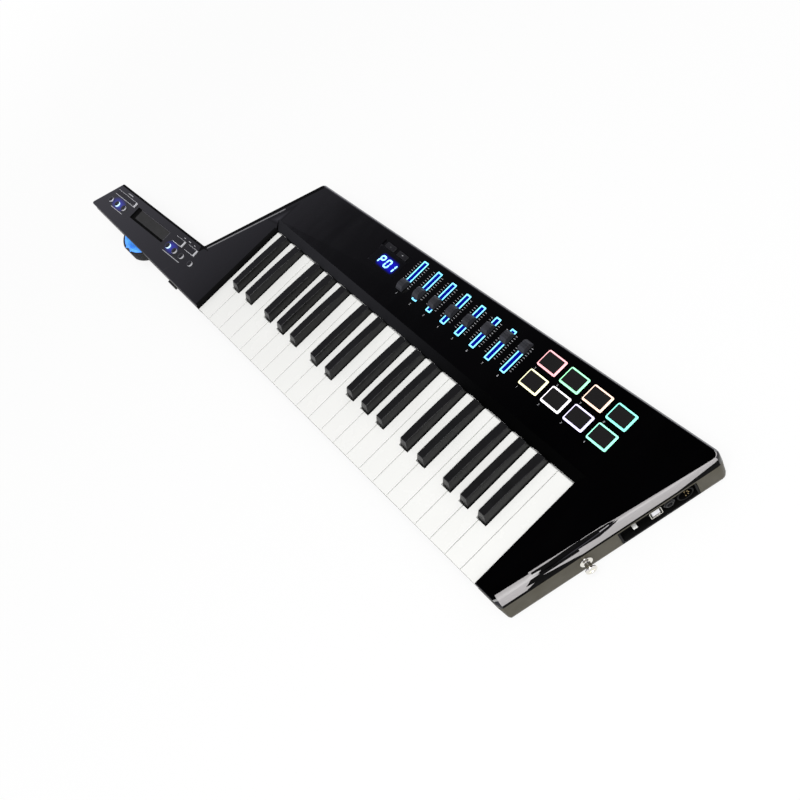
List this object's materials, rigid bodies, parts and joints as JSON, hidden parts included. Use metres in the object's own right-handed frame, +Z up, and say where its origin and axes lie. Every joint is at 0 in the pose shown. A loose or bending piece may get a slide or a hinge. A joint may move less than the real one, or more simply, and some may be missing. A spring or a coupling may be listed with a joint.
{
  "type": "keytar",
  "caption": "Shoulder-worn keyboard with a slanted body of piano keys, faders and pads, and a short neck with a pitch wheel, touch strip and buttons.",
  "frame": {"origin": "centre of the bounding box's underside", "axes": "+X along the keys to the treble side, +Y from the key fronts to the rear, +Z up, out of the panel"},
  "size_m": [0.883, 0.2444, 0.0489],
  "materials": {
    "case_gloss_black": "high gloss",
    "case_satin_grey": "satin",
    "key_white": "gloss",
    "key_black": "matte",
    "chassis_plastic": "matte",
    "cap_plastic": "matte",
    "pad_rubber": "matte",
    "wheel_plastic": "matte",
    "socket_plastic": "matte",
    "switch_plastic": "satin",
    "strap_metal": "polished"
  },
  "bodies": {
    "case": {"upper_case": "case_gloss_black", "lower_case": "case_satin_grey", "key_frame": "chassis_plastic", "pad_mat": "pad_rubber", "socket_panel": "socket_plastic", "strap_pin": "strap_metal"},
    "pitch_wheel": {"pitch_wheel": "wheel_plastic"},
    "sustain_button": {"sustain_button": "cap_plastic"},
    "head_button": {"head_button": "cap_plastic"},
    "octave_down_button": {"octave_down_button": "cap_plastic"},
    "octave_up_button": {"octave_up_button": "cap_plastic"},
    "display_button_left": {"display_button_left": "cap_plastic"},
    "display_button_right": {"display_button_right": "cap_plastic"},
    "power_switch": {"power_switch": "switch_plastic"},
    "battery_door": {"battery_door": "case_satin_grey"},
    "fader_cap_1": {"fader_cap_1": "cap_plastic"},
    "fader_cap_2": {"fader_cap_2": "cap_plastic"},
    "fader_cap_3": {"fader_cap_3": "cap_plastic"},
    "fader_cap_4": {"fader_cap_4": "cap_plastic"},
    "fader_cap_5": {"fader_cap_5": "cap_plastic"},
    "fader_cap_6": {"fader_cap_6": "cap_plastic"},
    "fader_cap_7": {"fader_cap_7": "cap_plastic"},
    "fader_cap_8": {"fader_cap_8": "cap_plastic"},
    "key_c1": {"key_c1": "key_white"},
    "key_c1_sharp": {"key_c1_sharp": "key_black"},
    "key_d1": {"key_d1": "key_white"},
    "key_d1_sharp": {"key_d1_sharp": "key_black"},
    "key_e1": {"key_e1": "key_white"},
    "key_f1": {"key_f1": "key_white"},
    "key_f1_sharp": {"key_f1_sharp": "key_black"},
    "key_g1": {"key_g1": "key_white"},
    "key_g1_sharp": {"key_g1_sharp": "key_black"},
    "key_a1": {"key_a1": "key_white"},
    "key_a1_sharp": {"key_a1_sharp": "key_black"},
    "key_b1": {"key_b1": "key_white"},
    "key_c2": {"key_c2": "key_white"},
    "key_c2_sharp": {"key_c2_sharp": "key_black"},
    "key_d2": {"key_d2": "key_white"},
    "key_d2_sharp": {"key_d2_sharp": "key_black"},
    "key_e2": {"key_e2": "key_white"},
    "key_f2": {"key_f2": "key_white"},
    "key_f2_sharp": {"key_f2_sharp": "key_black"},
    "key_g2": {"key_g2": "key_white"},
    "key_g2_sharp": {"key_g2_sharp": "key_black"},
    "key_a2": {"key_a2": "key_white"},
    "key_a2_sharp": {"key_a2_sharp": "key_black"},
    "key_b2": {"key_b2": "key_white"},
    "key_c3": {"key_c3": "key_white"},
    "key_c3_sharp": {"key_c3_sharp": "key_black"},
    "key_d3": {"key_d3": "key_white"},
    "key_d3_sharp": {"key_d3_sharp": "key_black"},
    "key_e3": {"key_e3": "key_white"},
    "key_f3": {"key_f3": "key_white"},
    "key_f3_sharp": {"key_f3_sharp": "key_black"},
    "key_g3": {"key_g3": "key_white"},
    "key_g3_sharp": {"key_g3_sharp": "key_black"},
    "key_a3": {"key_a3": "key_white"},
    "key_a3_sharp": {"key_a3_sharp": "key_black"},
    "key_b3": {"key_b3": "key_white"},
    "key_c4": {"key_c4": "key_white"}
  },
  "joints": [
    {"name": "pitch_wheel_turn", "type": "hinge", "parent": "case", "child": "pitch_wheel", "pos_m": [-0.32478, -0.08758, 0.033], "axis": [0, 0, 1], "range_deg": [-25, 25], "stiffness_Nm_per_rad": 0.05},
    {"name": "sustain_press", "type": "slide", "parent": "case", "child": "sustain_button", "axis": [0, 1, 0], "range_m": [0, 0.0015], "stiffness_N_per_m": 400, "springref_m": -0.0015},
    {"name": "head_press", "type": "slide", "parent": "case", "child": "head_button", "axis": [0, 0, -1], "range_m": [0, 0.0008], "stiffness_N_per_m": 400, "springref_m": -0.001},
    {"name": "octave_down_press", "type": "slide", "parent": "case", "child": "octave_down_button", "axis": [0, 0, -1], "range_m": [0, 0.0008], "stiffness_N_per_m": 400, "springref_m": -0.001},
    {"name": "octave_up_press", "type": "slide", "parent": "case", "child": "octave_up_button", "axis": [0, 0, -1], "range_m": [0, 0.0008], "stiffness_N_per_m": 400, "springref_m": -0.001},
    {"name": "display_left_press", "type": "slide", "parent": "case", "child": "display_button_left", "axis": [0, 0, -1], "range_m": [0, 0.0008], "stiffness_N_per_m": 400, "springref_m": -0.001},
    {"name": "display_right_press", "type": "slide", "parent": "case", "child": "display_button_right", "axis": [0, 0, -1], "range_m": [0, 0.0008], "stiffness_N_per_m": 400, "springref_m": -0.001},
    {"name": "power_switch_slide", "type": "slide", "parent": "case", "child": "power_switch", "axis": [0.2311, 0.9729, 0], "range_m": [0, 0.004]},
    {"name": "battery_door_slide", "type": "slide", "parent": "case", "child": "battery_door", "axis": [1, 0, 0], "range_m": [0, 0.01]},
    {"name": "fader_1_slide", "type": "slide", "parent": "case", "child": "fader_cap_1", "axis": [0, 1, 0], "range_m": [0, 0.03]},
    {"name": "fader_2_slide", "type": "slide", "parent": "case", "child": "fader_cap_2", "axis": [0, 1, 0], "range_m": [-0.0036, 0.0264]},
    {"name": "fader_3_slide", "type": "slide", "parent": "case", "child": "fader_cap_3", "axis": [0, 1, 0], "range_m": [-0.0063, 0.0237]},
    {"name": "fader_4_slide", "type": "slide", "parent": "case", "child": "fader_cap_4", "axis": [0, 1, 0], "range_m": [-0.0105, 0.0195]},
    {"name": "fader_5_slide", "type": "slide", "parent": "case", "child": "fader_cap_5", "axis": [0, 1, 0], "range_m": [-0.0138, 0.0162]},
    {"name": "fader_6_slide", "type": "slide", "parent": "case", "child": "fader_cap_6", "axis": [0, 1, 0], "range_m": [-0.0195, 0.0105]},
    {"name": "fader_7_slide", "type": "slide", "parent": "case", "child": "fader_cap_7", "axis": [0, 1, 0], "range_m": [-0.0246, 0.0054]},
    {"name": "fader_8_slide", "type": "slide", "parent": "case", "child": "fader_cap_8", "axis": [0, 1, 0], "range_m": [-0.0285, 0.0015]},
    {"name": "c1_press", "type": "hinge", "parent": "case", "child": "key_c1", "pos_m": [-0.14954, 0.05672, 0.0275], "axis": [1, 0, 0], "range_deg": [0, 3.4], "stiffness_Nm_per_rad": 0.5, "springref_deg": -13.75},
    {"name": "c1_sharp_press", "type": "hinge", "parent": "case", "child": "key_c1_sharp", "pos_m": [-0.14014, 0.05672, 0.0275], "axis": [1, 0, 0], "range_deg": [0, 3.4], "stiffness_Nm_per_rad": 0.5, "springref_deg": -13.75},
    {"name": "d1_press", "type": "hinge", "parent": "case", "child": "key_d1", "pos_m": [-0.12604, 0.05672, 0.0275], "axis": [1, 0, 0], "range_deg": [0, 3.4], "stiffness_Nm_per_rad": 0.5, "springref_deg": -13.75},
    {"name": "d1_sharp_press", "type": "hinge", "parent": "case", "child": "key_d1_sharp", "pos_m": [-0.11194, 0.05672, 0.0275], "axis": [1, 0, 0], "range_deg": [0, 3.4], "stiffness_Nm_per_rad": 0.5, "springref_deg": -13.75},
    {"name": "e1_press", "type": "hinge", "parent": "case", "child": "key_e1", "pos_m": [-0.10254, 0.05672, 0.0275], "axis": [1, 0, 0], "range_deg": [0, 3.4], "stiffness_Nm_per_rad": 0.5, "springref_deg": -13.75},
    {"name": "f1_press", "type": "hinge", "parent": "case", "child": "key_f1", "pos_m": [-0.07904, 0.05672, 0.0275], "axis": [1, 0, 0], "range_deg": [0, 3.4], "stiffness_Nm_per_rad": 0.5, "springref_deg": -13.75},
    {"name": "f1_sharp_press", "type": "hinge", "parent": "case", "child": "key_f1_sharp", "pos_m": [-0.0707, 0.05672, 0.0275], "axis": [1, 0, 0], "range_deg": [0, 3.4], "stiffness_Nm_per_rad": 0.5, "springref_deg": -13.75},
    {"name": "g1_press", "type": "hinge", "parent": "case", "child": "key_g1", "pos_m": [-0.05554, 0.05672, 0.0275], "axis": [1, 0, 0], "range_deg": [0, 3.4], "stiffness_Nm_per_rad": 0.5, "springref_deg": -13.75},
    {"name": "g1_sharp_press", "type": "hinge", "parent": "case", "child": "key_g1_sharp", "pos_m": [-0.04379, 0.05672, 0.0275], "axis": [1, 0, 0], "range_deg": [0, 3.4], "stiffness_Nm_per_rad": 0.5, "springref_deg": -13.75},
    {"name": "a1_press", "type": "hinge", "parent": "case", "child": "key_a1", "pos_m": [-0.03204, 0.05672, 0.0275], "axis": [1, 0, 0], "range_deg": [0, 3.4], "stiffness_Nm_per_rad": 0.5, "springref_deg": -13.75},
    {"name": "a1_sharp_press", "type": "hinge", "parent": "case", "child": "key_a1_sharp", "pos_m": [-0.01688, 0.05672, 0.0275], "axis": [1, 0, 0], "range_deg": [0, 3.4], "stiffness_Nm_per_rad": 0.5, "springref_deg": -13.75},
    {"name": "b1_press", "type": "hinge", "parent": "case", "child": "key_b1", "pos_m": [-0.00854, 0.05672, 0.0275], "axis": [1, 0, 0], "range_deg": [0, 3.4], "stiffness_Nm_per_rad": 0.5, "springref_deg": -13.75},
    {"name": "c2_press", "type": "hinge", "parent": "case", "child": "key_c2", "pos_m": [0.01496, 0.05672, 0.0275], "axis": [1, 0, 0], "range_deg": [0, 3.4], "stiffness_Nm_per_rad": 0.5, "springref_deg": -13.75},
    {"name": "c2_sharp_press", "type": "hinge", "parent": "case", "child": "key_c2_sharp", "pos_m": [0.02436, 0.05672, 0.0275], "axis": [1, 0, 0], "range_deg": [0, 3.4], "stiffness_Nm_per_rad": 0.5, "springref_deg": -13.75},
    {"name": "d2_press", "type": "hinge", "parent": "case", "child": "key_d2", "pos_m": [0.03846, 0.05672, 0.0275], "axis": [1, 0, 0], "range_deg": [0, 3.4], "stiffness_Nm_per_rad": 0.5, "springref_deg": -13.75},
    {"name": "d2_sharp_press", "type": "hinge", "parent": "case", "child": "key_d2_sharp", "pos_m": [0.05256, 0.05672, 0.0275], "axis": [1, 0, 0], "range_deg": [0, 3.4], "stiffness_Nm_per_rad": 0.5, "springref_deg": -13.75},
    {"name": "e2_press", "type": "hinge", "parent": "case", "child": "key_e2", "pos_m": [0.06196, 0.05672, 0.0275], "axis": [1, 0, 0], "range_deg": [0, 3.4], "stiffness_Nm_per_rad": 0.5, "springref_deg": -13.75},
    {"name": "f2_press", "type": "hinge", "parent": "case", "child": "key_f2", "pos_m": [0.08546, 0.05672, 0.0275], "axis": [1, 0, 0], "range_deg": [0, 3.4], "stiffness_Nm_per_rad": 0.5, "springref_deg": -13.75},
    {"name": "f2_sharp_press", "type": "hinge", "parent": "case", "child": "key_f2_sharp", "pos_m": [0.0938, 0.05672, 0.0275], "axis": [1, 0, 0], "range_deg": [0, 3.4], "stiffness_Nm_per_rad": 0.5, "springref_deg": -13.75},
    {"name": "g2_press", "type": "hinge", "parent": "case", "child": "key_g2", "pos_m": [0.10896, 0.05672, 0.0275], "axis": [1, 0, 0], "range_deg": [0, 3.4], "stiffness_Nm_per_rad": 0.5, "springref_deg": -13.75},
    {"name": "g2_sharp_press", "type": "hinge", "parent": "case", "child": "key_g2_sharp", "pos_m": [0.12071, 0.05672, 0.0275], "axis": [1, 0, 0], "range_deg": [0, 3.4], "stiffness_Nm_per_rad": 0.5, "springref_deg": -13.75},
    {"name": "a2_press", "type": "hinge", "parent": "case", "child": "key_a2", "pos_m": [0.13246, 0.05672, 0.0275], "axis": [1, 0, 0], "range_deg": [0, 3.4], "stiffness_Nm_per_rad": 0.5, "springref_deg": -13.75},
    {"name": "a2_sharp_press", "type": "hinge", "parent": "case", "child": "key_a2_sharp", "pos_m": [0.14762, 0.05672, 0.0275], "axis": [1, 0, 0], "range_deg": [0, 3.4], "stiffness_Nm_per_rad": 0.5, "springref_deg": -13.75},
    {"name": "b2_press", "type": "hinge", "parent": "case", "child": "key_b2", "pos_m": [0.15596, 0.05672, 0.0275], "axis": [1, 0, 0], "range_deg": [0, 3.4], "stiffness_Nm_per_rad": 0.5, "springref_deg": -13.75},
    {"name": "c3_press", "type": "hinge", "parent": "case", "child": "key_c3", "pos_m": [0.17946, 0.05672, 0.0275], "axis": [1, 0, 0], "range_deg": [0, 3.4], "stiffness_Nm_per_rad": 0.5, "springref_deg": -13.75},
    {"name": "c3_sharp_press", "type": "hinge", "parent": "case", "child": "key_c3_sharp", "pos_m": [0.18886, 0.05672, 0.0275], "axis": [1, 0, 0], "range_deg": [0, 3.4], "stiffness_Nm_per_rad": 0.5, "springref_deg": -13.75},
    {"name": "d3_press", "type": "hinge", "parent": "case", "child": "key_d3", "pos_m": [0.20296, 0.05672, 0.0275], "axis": [1, 0, 0], "range_deg": [0, 3.4], "stiffness_Nm_per_rad": 0.5, "springref_deg": -13.75},
    {"name": "d3_sharp_press", "type": "hinge", "parent": "case", "child": "key_d3_sharp", "pos_m": [0.21706, 0.05672, 0.0275], "axis": [1, 0, 0], "range_deg": [0, 3.4], "stiffness_Nm_per_rad": 0.5, "springref_deg": -13.75},
    {"name": "e3_press", "type": "hinge", "parent": "case", "child": "key_e3", "pos_m": [0.22646, 0.05672, 0.0275], "axis": [1, 0, 0], "range_deg": [0, 3.4], "stiffness_Nm_per_rad": 0.5, "springref_deg": -13.75},
    {"name": "f3_press", "type": "hinge", "parent": "case", "child": "key_f3", "pos_m": [0.24996, 0.05672, 0.0275], "axis": [1, 0, 0], "range_deg": [0, 3.4], "stiffness_Nm_per_rad": 0.5, "springref_deg": -13.75},
    {"name": "f3_sharp_press", "type": "hinge", "parent": "case", "child": "key_f3_sharp", "pos_m": [0.2583, 0.05672, 0.0275], "axis": [1, 0, 0], "range_deg": [0, 3.4], "stiffness_Nm_per_rad": 0.5, "springref_deg": -13.75},
    {"name": "g3_press", "type": "hinge", "parent": "case", "child": "key_g3", "pos_m": [0.27346, 0.05672, 0.0275], "axis": [1, 0, 0], "range_deg": [0, 3.4], "stiffness_Nm_per_rad": 0.5, "springref_deg": -13.75},
    {"name": "g3_sharp_press", "type": "hinge", "parent": "case", "child": "key_g3_sharp", "pos_m": [0.28521, 0.05672, 0.0275], "axis": [1, 0, 0], "range_deg": [0, 3.4], "stiffness_Nm_per_rad": 0.5, "springref_deg": -13.75},
    {"name": "a3_press", "type": "hinge", "parent": "case", "child": "key_a3", "pos_m": [0.29696, 0.05672, 0.0275], "axis": [1, 0, 0], "range_deg": [0, 3.4], "stiffness_Nm_per_rad": 0.5, "springref_deg": -13.75},
    {"name": "a3_sharp_press", "type": "hinge", "parent": "case", "child": "key_a3_sharp", "pos_m": [0.31212, 0.05672, 0.0275], "axis": [1, 0, 0], "range_deg": [0, 3.4], "stiffness_Nm_per_rad": 0.5, "springref_deg": -13.75},
    {"name": "b3_press", "type": "hinge", "parent": "case", "child": "key_b3", "pos_m": [0.32046, 0.05672, 0.0275], "axis": [1, 0, 0], "range_deg": [0, 3.4], "stiffness_Nm_per_rad": 0.5, "springref_deg": -13.75},
    {"name": "c4_press", "type": "hinge", "parent": "case", "child": "key_c4", "pos_m": [0.34396, 0.05672, 0.0275], "axis": [1, 0, 0], "range_deg": [0, 3.4], "stiffness_Nm_per_rad": 0.5, "springref_deg": -13.75}
  ]
}
